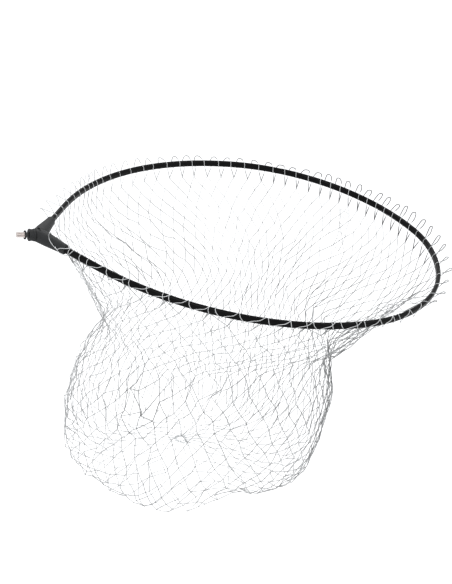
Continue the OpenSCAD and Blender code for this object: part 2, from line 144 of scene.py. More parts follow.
class StageSizes(bpy.types.PropertyGroup):
    """Camera, lamps and floor"""

    camera_place: bpy.props.FloatVectorProperty(
        name="Camera place", description="Where the camera stands", subtype="XYZ", unit="LENGTH",
        default=(-0.57849, -1.81644, 1.03770))
    azimuth: angle("Azimuth", "Turn of the camera round the vertical", -28.01)
    elevation: angle("Elevation", "Height of the camera above the horizon", 29.25)
    roll: angle("Roll", "Roll of the camera about its own axis", 13.98)
    lens: bpy.props.FloatProperty(name="Lens", description="Focal length on a 36 mm sensor", default=104.485)
    floor_depth: length("Floor depth", "Depth of the floor below the hoop", 900)


SETTINGS = {
    "net_hoop": HoopPlan,
    "net_bag_sizes": NetSizes,
    "net_stud": StudSizes,
    "net_finishes": Finishes,
    "net_stage": StageSizes,
}


# ---- Plan of the hoop and surface of the bag ----


def heading(a):
    return np.array([math.cos(a), math.sin(a)])


def right_of(a):
    return np.array([math.sin(a), -math.cos(a)])


class Rim:
    """Centre line of the hoop from the left arm round the front to the right arm"""

    def __init__(self, plan, first=8 * MM, steps=1600):
        """Starts at a distance first from the mouth of the arm"""
        crossing, leg = np.array([plan.leg_cross, 0]), heading(plan.leg_angle)
        straight = np.linspace(plan.arm_length + first, plan.leg_length, 60, endpoint=False)
        points = [crossing + s * leg for s in straight]
        inward = [right_of(plan.leg_angle)] * len(points)
        at = crossing + plan.leg_length * leg
        bends = ((plan.leg_angle, plan.side_end, plan.side_radius),
                 (plan.side_end, plan.front_end, plan.front_radius),
                 (plan.front_end, -math.pi / 2, None))
        for begin, end, radius in bends:
            # The last bend takes the radius that brings it square to the middle line
            radius = radius or at[1] / math.cos(begin)
            centre = at + radius * right_of(begin)
            for a in np.linspace(begin, end, steps // 3, endpoint=end == -math.pi / 2):
                points.append(centre - radius * right_of(a))
                inward.append(right_of(a))
            at = centre - radius * right_of(end)
        half, turn, flip = np.array(points), np.array(inward), np.array([1, -1])
        self.points = np.vstack([half, half[-2::-1] * flip])
        self.inward = np.vstack([turn, turn[-2::-1] * flip])
        spans = np.linalg.norm(np.diff(self.points, axis=0), axis=1)
        self.run = np.concatenate([[0], np.cumsum(spans)])
        self.length = self.run[-1]

    def at(self, s):
        """Point and inward direction at a length along the rim"""
        p, n = (np.stack([np.interp(s, self.run, rows[:, k]) for k in (0, 1)], -1)
                for rows in (self.points, self.inward))
        return p, n / np.linalg.norm(n, axis=-1, keepdims=True)


RIM_OFFSET = 4.6 * MM                  # From the tube's centre line inward to the start of the netting
SOLID_COLUMNS = 26                     # Meshes round the solid bag, whose first column this one shares
FUNNEL = 0.34                          # Share of the way down at which the funnel has become the waist
# The painted shade of the far wall's strands is set by how they run along this direction
ALONG_BAG = np.array([0.88, -0.47])    # Level direction of the far wall, by which its strands are shaded

# Share of the way down, depth, middle, half length and half width of the hanging bag, in millimetres
BAG_LEVELS = np.array([
    [0.00, 10, 395, 300, 232],
    [0.17, 92, 398, 244, 190],
    [0.34, 180, 394, 208, 168],
    [0.52, 284, 389, 238, 190],
    [0.68, 385, 384, 244, 195],
    [0.80, 451, 380, 232, 174],
    [0.91, 476, 376, 154, 112],
    [1.00, 447, 370, 9, 9],
])

# How far the tips of the rim loops stand out from the middle of the tube and above it, in millimetres,
# by share of the way round
LOOP_TIPS = np.array([
    [0.00, 26, 12], [0.03, 22, 16], [0.06, 11, 22], [0.10, 10, 21], [0.13, 11, 19], [0.16, 12, 15], [0.22, 14, 9],
    [0.28, 14, 7], [0.33, 14, 7.5], [0.37, 13, 15], [0.41, 13, 20], [0.46, 12, 25], [0.52, 13, 27], [0.57, 18, 20],
    [0.61, 20, 15], [1.00, 20, 10],
])

# Spacing of the meshes along the rim: share of the way round and relative gap
LOOP_GAPS = np.array([
    [0.00, 1.1], [0.05, 0.9], [0.09, 0.5], [0.13, 0.55], [0.17, 1.05], [0.36, 1.05], [0.44, 0.8],
    [0.54, 0.75], [0.60, 1.05], [0.70, 1.5], [1.00, 1.5],
])

# Depth, middle and spread of the lobes and folds of the base along the bag, in millimetres
LOBES = ((28, 300, 75), (-22, 415, 45), (12.6, 525, 60))

# Tangled places on the belly: amount, share of the way round and spread, share of the way down and spread
TANGLES = ((1, 0.842, 0.035, 0.45, 0.06), (0.6, 0.80, 0.025, 0.37, 0.04))

# Painted shade in the folds of the netting: amount, middle, spread across and spread in height, in millimetres
PAINTED_FOLD_SHADE = ((0.35, (225, -135, -254), 45, 45), (0.3, (690, -120, -45), 70, 35))


def level(v, c):
    """One column of the levels, carried smoothly from level to level"""
    v = np.asarray(v, float)
    t, y = BAG_LEVELS[:, 0], BAG_LEVELS[:, c]
    before, after = np.maximum(np.arange(len(t)) - 1, 0), np.minimum(np.arange(len(t)) + 1, len(t) - 1)
    slopes = (y[after] - y[before]) / (t[after] - t[before])
    i = np.clip(np.searchsorted(t, v, side="right") - 1, 0, len(t) - 2)
    span = t[i + 1] - t[i]
    k = (v - t[i]) / span
    return ((2 * k ** 3 - 3 * k ** 2 + 1) * y[i] + (k ** 3 - 2 * k ** 2 + k) * span * slopes[i]
            + (3 * k ** 2 - 2 * k ** 3) * y[i + 1] + (k ** 3 - k ** 2) * span * slopes[i + 1])


def smooth(k):
    """Eased step from 0 to 1"""
    k = np.clip(k, 0, 1)
    return k * k * (3 - 2 * k)


def ramp(x, start, end):
    """Eased step from 0 where x is start to 1 where x is end"""
    return smooth((x - start) / (end - start))


def hump(x, middle, spread):
    """Rounded bump of height 1"""
    return np.exp(-((x - middle) / spread) ** 2)


def filled(k):
    """Sine or cosine drawn out, so that the oval section of the bag is a little squarer"""
    return np.sign(k) * np.abs(k) ** 0.85


def lobes(x, v):
    """Depth added by the two lobes of the base and taken off by the fold between them"""
    return ramp(v, 0.6, 0.9) * np.minimum(1, (1 - v) / 0.12) * sum(d * hump(x, m, w) for d, m, w in LOBES)


def crease(w, v):
    """Crease that slants down across the near side of the belly, at shares w round and v down"""
    middle = 0.508 + 0.93 * (w - 0.728)
    return hump(v, middle, 0.028) * ramp(w, 0.68, 0.72) * ramp(w, 0.92, 0.88)


class Bag:
    """Surface of the hanging bag, by share of the way round and share of the way down"""

    def __init__(self, rim, sizes):
        self.rim = rim
        self.bunching = sizes.bunching
        self.edges = sizes.rim_loops + sizes.free_loops
        self.last = sizes.rim_loops - 1
        u = (np.arange(self.last) + 0.5) / self.last
        gaps = np.interp(u, LOOP_GAPS[:, 0], LOOP_GAPS[:, 1])
        gaps *= np.random.default_rng(21).uniform(0.85, 1.15, self.last)
        places = np.concatenate([[0], np.cumsum(gaps)])
        self.places = places / places[-1] * rim.length

    def run(self, turn):
        """Length along the rim at a loop count"""
        return np.interp(turn, np.arange(self.last + 1), self.places)

    def rim_place(self, t):
        """Inner side of the rim at a loop count t, in millimetres"""
        t = np.asarray(t, float) % self.edges
        on_hoop, left, right = (
            p + RIM_OFFSET * n for p, n in map(self.rim.at, (self.run(t), 0.0, self.rim.length)))
        k = np.clip((t - self.last) / (self.edges - self.last), 0, 1)[..., None]
        return np.where(t[..., None] <= self.last, on_hoop, right * (1 - k) + left * k) / MM

    def point(self, t, v):
        """Point of the bag at loop count t and depth share v, in metres"""
        t, v = np.broadcast_arrays(np.asarray(t, float), np.asarray(v, float))
        turn = t % self.edges
        a = math.pi - 2 * math.pi * (turn + 0.5 * self.edges / SOLID_COLUMNS) / self.edges
        a = a + self.bunching * ramp(v, 0, 0.3) * (np.cos(a) - 0.5 * np.sin(a))
        drawn_in = 1 - 0.09 * crease(turn / self.edges, v)
        x = level(v, 2) + drawn_in * level(v, 3) * filled(np.cos(a))
        y = drawn_in * level(v, 4) * filled(np.sin(a))
        # The netting lies slack in a shelf inside the near right of the rim, and in a bay between the arms
        shelf = hump(self.run(turn) / self.rim.length, 0.635, 0.06) * hump(v, 0.11, 0.08)
        gap_middle = (self.last + self.edges) / 2
        from_gap = self.edges / 2 - np.abs((t - gap_middle) % self.edges - self.edges / 2)
        bay = hump(from_gap, 0, 5) * hump(v, 0.12, 0.09)
        k = np.clip(v / FUNNEL, 0, 1)
        k = np.minimum(1, 0.65 * k + 0.35 * smooth(k) + 0.26 * (shelf + bay))
        rim = self.rim_place(t)
        px = rim[..., 0] * (1 - k) + x * k
        py = rim[..., 1] * (1 - k) + y * k
        sag = 20 * ramp(px, 430, 210) * hump(v, FUNNEL, 0.17) - 38 * shelf
        pz = -level(v, 1) - lobes(px, v) - sag
        return np.stack([px, py, pz], -1) * MM

    def inward(self, t, v):
        """Direction from the surface into the bag"""
        across = self.point(t + 0.4, v) - self.point(t - 0.4, v)
        down = self.point(t, np.minimum(1, v + 0.01)) - self.point(t, np.maximum(0, v - 0.01))
        n = np.cross(down, across)
        return n / np.maximum(np.linalg.norm(n, axis=-1, keepdims=True), 1e-12)


def waves(t, v, edges, seed, strength):
    """Shallow folds that run down the bag, as a sum of a few waves"""
    rng = np.random.default_rng(seed)
    total = np.zeros(np.broadcast(t, v).shape)
    for count, steepest in ((3, 1.4), (6, 1.6), (10, 2.6), (15, 3.5)):
        for _ in range(2):
            phase, lean, tilt = rng.uniform(0, 6.283), rng.uniform(-2, 2), rng.uniform(0, steepest)
            size = rng.uniform(0.5, 1.0) / count ** 0.45
            around = np.sin(2 * math.pi * count * t / edges + lean * v * 3 + phase)
            total += size * around * np.cos(tilt * v * 3 + phase)
    return strength * total


def bated(knots, first, second):
    """Joins columns in twos from the first bating row on, and in fours from the second"""
    rows, n = knots.shape[:2]
    out = knots.copy()
    for start, stop, group in ((first, second, 2), (second, rows, 4)):
        part = knots[start:stop].reshape(stop - start, n // group, group, -1).mean(2)
        out[start:stop] = np.repeat(part, group, axis=1)
    return out


def mesh_rows(sizes, bag):
    """Bar length with which the half rows reach just from the rim to the base, and the depth share of each"""
    top = np.linspace(0, 0.3, 60)
    vs = np.linspace(np.interp(sizes.rim_drop / MM, level(top, 1), top), 1, 400)
    ring = bag.point(np.arange(bag.edges, dtype=float)[None, :], vs[:, None])
    width = np.linalg.norm(np.roll(ring, -1, axis=1) - ring, axis=2).mean(1)
    drop = np.linalg.norm(np.diff(ring, axis=0), axis=2).mean(1)
    fall = np.concatenate([[0], np.cumsum(drop)])

    def depths(bar):
        place = [0.0]
        for _ in range(sizes.rows):
            w = np.interp(place[-1], fall, width)
            place.append(place[-1] + math.sqrt(max(bar * bar - w * w / 4, (0.3 * bar) ** 2)))
        return np.array(place)

    low, high = 8 * MM, 40 * MM
    for _ in range(50):
        bar = (low + high) / 2
        if depths(bar)[-1] < fall[-1]:
            low = bar
        else:
            high = bar
    shares = np.interp(depths(bar), fall, vs)
    shares[-1] = 1
    return bar, shares


def settled(knots, home, inward, bar, bating):
    """Draws the knots together until no bar is too long, close to the surface and fixed at rim and base"""
    rows, n = knots.shape[0] - 1, knots.shape[1]
    free = np.ones((rows + 1, 1, 1))
    free[0] = free[-1] = 0
    even = (np.arange(rows) % 2 == 0)[:, None, None]
    for _ in range(260):
        move = np.zeros_like(knots)
        hits = np.zeros((rows + 1, n, 1))
        for left, right in ((0, 1), (1, 0)):
            lower = np.where(even, np.roll(knots[1:], left, axis=1), np.roll(knots[1:], -right, axis=1))
            gap = lower - knots[:-1]
            length = np.linalg.norm(gap, axis=2, keepdims=True)
            over = length - bar
            # A slack bar pushes its knots apart far more weakly than a tight one draws them together
            pull = np.where(over > 0, 0.5, 0.1) * over * gap / np.maximum(length, 1e-9)
            move[:-1] += pull
            move[1:] -= np.where(even, np.roll(pull, -left, axis=1), np.roll(pull, right, axis=1))
            hits[:-1] += 1
            hits[1:] += 1
        knots = knots + free * move / hits * 1.3
        away = ((home - knots) * inward).sum(2, keepdims=True)
        knots = knots + free * (0.6 * away * inward + 0.015 * (home - knots))
        knots = bated(knots, *bating)
    return knots


def knot_grid(sizes, bag):
    """Knots of the netting, settled so that every mesh keeps its bar length"""
    n, rows = bag.edges, sizes.rows
    bar, shares = mesh_rows(sizes, bag)
    rng = np.random.default_rng(7)
    row = np.arange(rows + 1)
    t = np.arange(n, dtype=float)[None, :] + 0.5 + 0.5 * (row[:, None] % 2)
    v = np.broadcast_to(shares[:, None], t.shape)
    bating = tuple(int(np.searchsorted(shares, depth)) for depth in (0.85, 0.95))
    t = t + (row % 2 * np.where(row >= bating[1], 1.5, np.where(row >= bating[0], 0.5, 0)))[:, None]
    # The joining seam holds one column of meshes wide open
    seam = sizes.seam * n
    t = t + 0.62 * np.tanh((t - seam) / 0.5) * hump(t, seam, 4) * ramp(v, 0.05, 0.08) * ramp(v, 0.42, 0.22)
    home, inward = bag.point(t, v), bag.inward(t, v)
    fade = (ramp(row, 0, 5) * ramp(row, rows, rows - 6))[:, None]
    shift = waves(t, v, n, 3, sizes.waviness) * fade
    home = home + inward * (shift + rng.normal(0, 0.8 * MM, shift.shape) * fade)[..., None]
    knots = home + rng.normal(0, 1.6 * MM, home.shape) * fade[..., None]
    knots = settled(bated(knots, *bating), home, inward, bar, bating)
    tangle = sum(amount * hump(t / n, around, wide) * hump(v, down, high)
                 for amount, around, wide, down, high in TANGLES)
    stray = rng.normal(0, sizes.scatter, knots.shape) * (fade * (1 + 3.2 * tangle))[..., None]
    return knots + bated(stray, *bating), inward, bating


def strand_chains(knots, inward, kink, bating, seed=11):
    """Runs of twine from the rim to the base, bowed a little between the knots"""
    rows, n = knots.shape[0] - 1, knots.shape[1]
    rng = np.random.default_rng(seed)
    chains, laid = [], set()
    for lean in (0, 1):
        for start in range(n):
            i, points = start, []
            for j in range(rows):
                nxt = (i + j % 2 + lean - 1) % n
                a, b = knots[j, i], knots[j + 1, nxt]
                if j + 1 >= bating[0]:
                    # Strands that the bating has brought together are laid once
                    group = 4 if j + 1 >= bating[1] else 2
                    key = (j, i // group, nxt // group)
                    if key in laid:
                        if points:
                            chains.append(np.array(points + [a]))
                        points, i = [], nxt
                        continue
                    laid.add(key)
                side = np.cross(b - a, inward[j, i])
                side /= max(np.linalg.norm(side), 1e-9)
                bow = rng.normal(0, kink) * inward[j, i] + rng.normal(0, 0.6 * kink) * side
                points += [a, (a + b) / 2 + bow]
                i = nxt
            if points:
                chains.append(np.array(points + [knots[rows, i]]))
    return chains


# ---- Rim loops ----


def seam_ladder(sizes, bag, rungs=6):
    """Open squares left where the two edges of the netting are joined"""
    rng = np.random.default_rng(5)
    rails = []
    for k in range(rungs):
        t = (sizes.seam - 0.010 + 0.002 * k) * bag.edges
        v = 0.05 + 0.024 * k
        inside = bag.inward(t, v) * 3 * MM
        rails.append([bag.point(t + side * 0.42, v + 0.004 * side) + inside + rng.normal(0, 1.2 * MM, 3)
                      for side in (-1, 1)])
    return [np.array([rail[side] for rail in rails]) for side in (0, 1)] + [np.array(rail) for rail in rails]


def arm_strands(plan):
    """Two strands that lie round the right arm of the block and meet at its mouth"""
    along, out = heading(-plan.leg_angle), -right_of(plan.leg_angle) * np.array([1, -1])
    # Place along the arm, half width and half height at its root and at its mouth, in millimetres
    root, mouth = np.array([12, 12.7, 12.1]), np.array([59, 8.1, 9.5])

    def place(s, turn):
        _, wide, high = root + (mouth - root) * (s - root[0]) / (mouth[0] - root[0])
        a = math.radians(turn)
        w, h = (math.copysign(abs(q) ** 0.75, q) for q in (math.sin(a), math.cos(a)))
        x, y = np.array([plan.leg_cross, 0]) + (s * along + wide * w * out) * MM
        return np.array([x, y, high * h * MM])

    # Place along the arm in millimetres and turn round it in degrees
    upper = [(16, -70), (18, -30), (21.5, 6), (29, 48), (36, 75), (47, 94), (52, 80), (59, 63), (65, 40), (70, 0)]
    lower = [(43, 84), (48, 98), (53, 125), (59, 165), (62, 200)]
    return [soft_run([place(*p) for p in run], 3) for run in (upper, lower)]


def drooping(u):
    """Share of the loops that droop over the outer face: none at the far side, all at the near side"""
    return ramp(u, 0.615, 0.645)


def hanging_loop(rng, left, right, place):
    """Loop that passes under the tube, stands up outside it and comes back over the top"""
    tube, top = place.half_width, place.half_height
    reach = (place.reach - tube) * rng.uniform(0.75, 1.2)
    up = (place.rise - top) * rng.uniform(0.7, 1.15)
    lean, half = rng.uniform(-4, 5), rng.uniform(7.5, 11)
    under = [(1 - tube, 1 - top, -half * 0.7), (0, -top, -half * 0.75), (tube, 2 - top, -half * 0.7),
             (tube + 0.3 * reach, 3, -half * 0.7)]
    # Share of the reach and share of the half width, from leg to leg round the tip
    tip = [(0.7, -0.5), (0.92, -0.28), (1.0, 0.0), (0.93, 0.26), (0.7, 0.45), (0.35, 0.58)]
    crown = [(tube + k * reach, top + k ** 0.8 * up, lean * k + w * half) for k, w in tip]
    back = [(-1, top, half * 0.75), (0.8 - tube, 2.5, half * 0.85), (-tube, -4, half)]
    return [soft_run([left, *(place(*p) for p in under + crown + back), right], 3)]


def drooping_loop(rng, left, right, place):
    """Loop that lies slack over the outer face, with one leg drawn out along the tube"""
    tube, top = place.half_width, place.half_height
    side = -1 if rng.uniform() < 0.9 else 1
    first, last = (left, right) if side > 0 else (right, left)
    long, short = rng.uniform(22, 33) * side, -rng.uniform(3, 12) * side
    low = rng.uniform(4.5, 7.5)
    far = tube + rng.uniform(0.3, 1.2)
    over = [(-tube, -3, short * 1.3), (-1.5, top, short), (tube, 2.5, short * 0.75),
            (far + 0.4, -low * 0.6, short * 0.2), (far + 1, -low, 0), (far + 0.6, -low * 0.6, 0.12 * long),
            (tube + 0.3, -0.6, 0.4 * long), (tube, 2.4, long * 0.75), (1.2, top, long),
            (-tube, 2, long + 2 * side)]
    chains = [soft_run([first, *(place(*p) for p in over), last], 3)]
    if rng.uniform() < 0.3:
        away = rng.uniform(-24, -15) * side
        across = [(-tube, -4, 3), (-tube, 2, 2), (0, top, 0), (tube, 2.4, -1), (tube + 0.3, -2.4, -3),
                  (2, -top, -4), (-tube, 1 - top, -4)]
        chains.append(soft_run([last, *(place(out, up, away + shift) for out, up, shift in across), first], 3))
    return chains


class Crossing:
    """Places round the tube where a loop crosses it: outward, up and along the rim, in millimetres"""

    def __init__(self, rim, s, plan, strand, reach, rise):
        self.rim, self.s, self.reach, self.rise = rim, s, reach, rise
        clear = strand / 2 + 0.15 * MM
        self.half_width = (plan.tube_width / 2 + clear) / MM
        self.half_height = (plan.tube_height / 2 + clear) / MM

    def __call__(self, out, up, shift):
        p, inner = self.rim.at(np.clip(self.s + shift * MM, 0, self.rim.length))
        return np.array([*(p - out * MM * inner), up * MM])


def rim_loops(sizes, bag, knots, plan):
    """Strands of the edge meshes, led over and under the tube"""
    rng = np.random.default_rng(33)
    chains = []
    for i in range(bag.edges):
        left, right = knots[0, (i - 1) % bag.edges], knots[0, i]
        if i >= sizes.rim_loops:
            # The meshes in the gap between the arms hang free
            bow = math.sin(math.pi * (i - sizes.rim_loops + 1) / (sizes.free_loops + 1))
            x, y = bag.rim_place(i)
            crown = np.array([x - 6 * bow, y, -7 - 5 * bow]) * MM
            half = (left - right) * 0.08
            chains.append(soft_run([left, crown + half, crown - half, right], 4))
            continue
        s = bag.places[i]
        u = s / bag.rim.length
        reach, rise = (sizes.loop_scale * np.interp(u, LOOP_TIPS[:, 0], LOOP_TIPS[:, k]) for k in (1, 2))
        place = Crossing(bag.rim, s, plan, sizes.strand, reach, rise)
        shape = drooping_loop if rng.uniform() < drooping(u) else hanging_loop
        chains += shape(rng, left, right, place)
    return chains


def soft_run(points, steps):
    """Smooth curve through points, a few steps from each to the next"""
    p = np.array(points, float)
    q = np.vstack([2 * p[0] - p[1], p, 2 * p[-1] - p[-2]])
    out = []
    for i in range(len(p) - 1):
        a, b, c, d = q[i], q[i + 1], q[i + 2], q[i + 3]
        for k in np.arange(steps) / steps:
            out.append(0.5 * (2 * b + (c - a) * k + (2 * a - 5 * b + 4 * c - d) * k ** 2
                              + (3 * b - a - 3 * c + d) * k ** 3))
    out.append(p[-1])
    return np.array(out)


# ---- Making objects ----


def settings(name):
    return getattr(bpy.context.scene, name)


def new_object(name, data):
    made = bpy.data.objects.new(name, data)
    bpy.context.scene.collection.objects.link(made)
    return made


def mesh_from(name, points, faces):
    mesh = bpy.data.meshes.new(name)
    mesh.from_pydata([tuple(p) for p in points], [], faces)
    mesh.validate()
    return mesh


def add_painted_shade(mesh, shades):
    """Stores the painted light and shade of each point of the twine, from 0 for pale to 1 for dark"""
    layer = mesh.attributes.new("shade", "FLOAT", "POINT")
    layer.data.foreach_set("value", np.clip(shades, 0, 1).astype(np.float32))


def painted_run_shade(points, chains):
    """Painted sheen and shade by the way a strand runs: on the far wall those that run down towards the middle are
    painted darker, the others lighter
    """
    x, y, z = points.T / MM
    runs = np.vstack([np.gradient(chain, axis=0) for chain in chains])
    runs /= np.maximum(np.linalg.norm(runs, axis=1, keepdims=True), 1e-9)
    slope = -2 * (runs[:, :2] @ ALONG_BAG) * runs[:, 2]
    side = 1 - 2 * ramp(x, 330, 490)
    return 0.24 * slope * side * ramp(y, -20, 60) * ramp(z, -300, -200)


def painted_net_shade(points, rng):
    """Painted light and shade of the netting, with random tone: palest by the left arm, darkest in the folds of the
    near and right walls
    """
    x, y, z = np.asarray(points).T / MM
    shade = (0.16 + 0.20 * ramp(x, 160, 580) * ramp(z, -400, -150) + 0.26 * ramp(z, 0, -300)
             + 0.14 * ramp(y, 120, -180) + 0.10 * hump(x, 590, 60) * ramp(z, -20, -140))
    # The gathered base is pale
    shade = shade - 0.45 * hump(np.hypot(x - 370, y), 0, 60) * ramp(z, -380, -440)
    for amount, (mx, my, mz), wide, high in PAINTED_FOLD_SHADE:
        shade = shade + amount * hump(np.hypot(x - mx, y - my), 0, wide) * hump(z, mz, high)
    ripple = np.sin(x / 23 + z / 31 + 1.3) * np.sin(y / 27 - z / 19) * 0.10
    return np.clip(shade + ripple + rng.normal(0, 0.10, len(x)), 0, 1)


def painted_loop_shade(points, plan):
    """Painted light and shade of the rim loops: a painted highlight where a strand bears on the black tube"""
    x, y, z = np.asarray(points).T
    rim = Rim(plan, first=-20 * MM)
    near = np.array([np.hypot(rim.points[:, 0] - a, rim.points[:, 1] - b).min() for a, b in zip(x, y)])
    gap = np.hypot(near / (0.5 * plan.tube_width), z / (0.5 * plan.tube_height))
    # The strands round the right arm count as bearing on it all the way
    gap = gap - 2 * ramp(x, 0.075, 0.065) * (y < 0)
    # Painted light on the far left and on the near legs below the tube; painted shade at the right
    pale = 0.45 * ramp(x, 0.42, 0.17) * ramp(y, -0.02, 0.06) + 0.35 * ramp(y, -0.05, -0.10) * ramp(z, -0.004, -0.012)
    dark = 0.25 * ramp(x, 0.4, 0.6) * ramp(y, -0.1, 0) - 0.15 * ramp(y, 0.1, 0.2) * (z < 0)
    return np.clip((0.70 - pale + dark) * ramp(gap, 1.25, 2.15), 0, 1)


def chain_mesh(name, chains, shade):
    """Mesh of edges alone, one open chain for each run of twine"""
    points = np.vstack(chains)
    edges, at = [], 0
    for chain in chains:
        edges += [(at + k, at + k + 1) for k in range(len(chain) - 1)]
        at += len(chain)
    mesh = bpy.data.meshes.new(name)
    mesh.from_pydata(points.tolist(), edges, [])
    add_painted_shade(mesh, shade(points))
    return mesh


def socket_id(tree, name):
    return next(item.identifier for item in tree.interface.items_tree
                if item.item_type == "SOCKET" and item.in_out == "INPUT" and item.name == name)


def node_group(name, kind, inputs, outputs):
    """New node group with its sockets, and its input and output nodes"""
    tree = bpy.data.node_groups.new(name, kind)
    for key, socket, *value in inputs:
        item = tree.interface.new_socket(key, in_out="INPUT", socket_type="NodeSocket" + socket)
        if value:
            item.default_value = value[0]
    for key, socket in outputs:
        tree.interface.new_socket(key, in_out="OUTPUT", socket_type="NodeSocket" + socket)
    return tree, tree.nodes.new("NodeGroupInput"), tree.nodes.new("NodeGroupOutput")


def wire(tree, *links):
    """Links nodes, each link given as node, output, node, input"""
    for source, output, target, socket in links:
        tree.links.new(source.outputs[output], target.inputs[socket])


def math_node(tree, operation, *values):
    """Math node with its fixed values, where None leaves a socket free"""
    made = tree.nodes.new("ShaderNodeMath")
    made.operation = operation
    for socket, value in zip(made.inputs, values):
        if value is not None:
            socket.default_value = value
    return made


def growing_group(name, inputs, *kinds):
    """New geometry tree that takes a guide and a material, with a node of each kind"""
    tree, take, give = node_group(
        name, "GeometryNodeTree", [("Geometry", "Geometry"), *inputs, ("Material", "Material")],
        [("Geometry", "Geometry")])
    return tree, take, give, *(tree.nodes.new("GeometryNode" + kind) for kind in kinds)


def finish_chain(tree, take, give, *chain):
    """Leads what was made through the last nodes of a geometry tree and gives it the material"""
    for source, target in zip(chain, chain[1:]):
        tree.links.new(source.outputs[0], target.inputs["Geometry"])
    wire(tree, (take, "Material", chain[-1], "Material"), (chain[-1], "Geometry", give, "Geometry"))


def twine_tree():
    """Lays round twine along every chain of edges"""
    if tree := bpy.data.node_groups.get("Lay Twine"):
        return tree
    tree, take, give, curve, ring, sweep, dark, shade, real, paint = growing_group(
        "Lay Twine", [("Radius", "Float"), ("Sides", "Int")], "MeshToCurve", "CurvePrimitiveCircle", "CurveToMesh",
        "InputNamedAttribute", "SetShadeSmooth", "RealizeInstances", "SetMaterial")
    sweep.inputs["Fill Caps"].default_value = True
    # Runs with more painted shade are drawn out thicker than pale ones
    dark.inputs["Name"].default_value = "shade"
    girth = math_node(tree, "MULTIPLY_ADD", None, 0.6, 0.78)
    wire(tree, (dark, "Attribute", girth, 0), (girth, "Value", sweep, "Scale"), (take, "Geometry", curve, "Mesh"),
         (take, "Radius", ring, "Radius"), (take, "Sides", ring, "Resolution"), (curve, "Curve", sweep, "Curve"),
         (ring, "Curve", sweep, "Profile Curve"))
    finish_chain(tree, take, give, sweep, shade, real, paint)
    return tree


def knot_tree():
    """Ties a small knot at every point, turned at random"""
    tree, take, give, points, lump, place, real, shade, paint = growing_group(
        "Tie Knots", [("Size", "Float"), ("Seed", "Int")], "MeshToPoints", "MeshIcoSphere", "InstanceOnPoints",
        "RealizeInstances", "SetShadeSmooth", "SetMaterial")
    lump.inputs["Subdivisions"].default_value = 1
    half = math_node(tree, "MULTIPLY", None, 0.5)
    turn, size = (tree.nodes.new("FunctionNodeRandomValue") for _ in range(2))
    for node, low, high in ((turn, (0, 0, 0), (6.283,) * 3), (size, (0.75, 0.75, 0.9), (1.0, 1.0, 1.35))):
        node.data_type = "FLOAT_VECTOR"
        node.inputs[0].default_value, node.inputs[1].default_value = low, high
    wire(tree, (take, "Geometry", points, "Mesh"), (take, "Size", half, 0), (half, 0, lump, "Radius"),
         (take, "Seed", turn, "Seed"), (take, "Seed", size, "Seed"), (points, "Points", place, "Points"),
         (lump, "Mesh", place, "Instance"), (turn, 0, place, "Rotation"), (size, 0, place, "Scale"))
    finish_chain(tree, take, give, place, real, shade, paint)
    return tree


def grown(name, guide, tree, values, replaced=()):
    """Object made by a geometry tree from a guide mesh, as a plain mesh that rides on the body"""
    made = new_object(name, guide)
    modifier = made.modifiers.new("Grow", "NODES")
    modifier.node_group = tree
    for key, value in values.items():
        modifier[socket_id(tree, key)] = value
    bpy.context.view_layer.update()
    depsgraph = bpy.context.evaluated_depsgraph_get()
    plain = bpy.data.meshes.new_from_object(made.evaluated_get(depsgraph), depsgraph=depsgraph)
    made.modifiers.remove(modifier)
    made.data = plain
    plain.name = name
    bpy.data.meshes.remove(guide)
    finish_piece(made, replaced)


def finish_piece(made, replaced=()):
    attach(made, BODY)
    if replaced:
        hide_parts(*replaced)


# ---- Materials ----


def surface_grain():
    """Fine uneven grain: a mottled colour, a spread of roughness and a shallow bump"""
    if tree := bpy.data.node_groups.get("Surface Grain"):
        return tree
    tree, take, give = node_group(
        "Surface Grain", "ShaderNodeTree",
        [("Color", "Color", (0.5, 0.5, 0.5, 1)), ("Mottle", "Float", 0.2), ("Grain Size", "Float", 900.0),
         ("Grain Depth", "Float", 0.2), ("Roughness", "Float", 0.5), ("Roughness Spread", "Float", 0.1)],
        [("Color", "Color"), ("Roughness", "Float"), ("Normal", "Vector")])
    place, fine, broad, darker, shade, bump = (tree.nodes.new("ShaderNode" + kind) for kind in (
        "TexCoord", "TexNoise", "TexNoise", "HueSaturation", "MapRange", "Bump"))
    fine.inputs["Detail"].default_value = 4
    broad.inputs["Scale"].default_value = 55
    broad.inputs["Detail"].default_value = 3
    shade.inputs["From Min"].default_value, shade.inputs["From Max"].default_value = 0.3, 0.7
    bump.inputs["Distance"].default_value = 0.2 * MM
    low, high = math_node(tree, "SUBTRACT", 1), math_node(tree, "ADD", 1)
    centred, spread = math_node(tree, "SUBTRACT", None, 0.5), math_node(tree, "MULTIPLY_ADD")
    wire(tree, (place, "Object", fine, "Vector"), (place, "Object", broad, "Vector"),
         (take, "Grain Size", fine, "Scale"))
    wire(tree, (take, "Mottle", low, 1), (take, "Mottle", high, 1), (broad, "Fac", shade, "Value"),
         (low, 0, shade, "To Min"), (high, 0, shade, "To Max"), (take, "Color", darker, "Color"),
         (shade, "Result", darker, "Value"), (darker, "Color", give, "Color"))
    wire(tree, (fine, "Fac", centred, 0), (centred, 0, spread, 0), (take, "Roughness Spread", spread, 1),
         (take, "Roughness", spread, 2), (spread, 0, give, "Roughness"))
    wire(tree, (take, "Grain Depth", bump, "Strength"), (fine, "Fac", bump, "Height"), (bump, "Normal", give, "Normal"))
    return tree


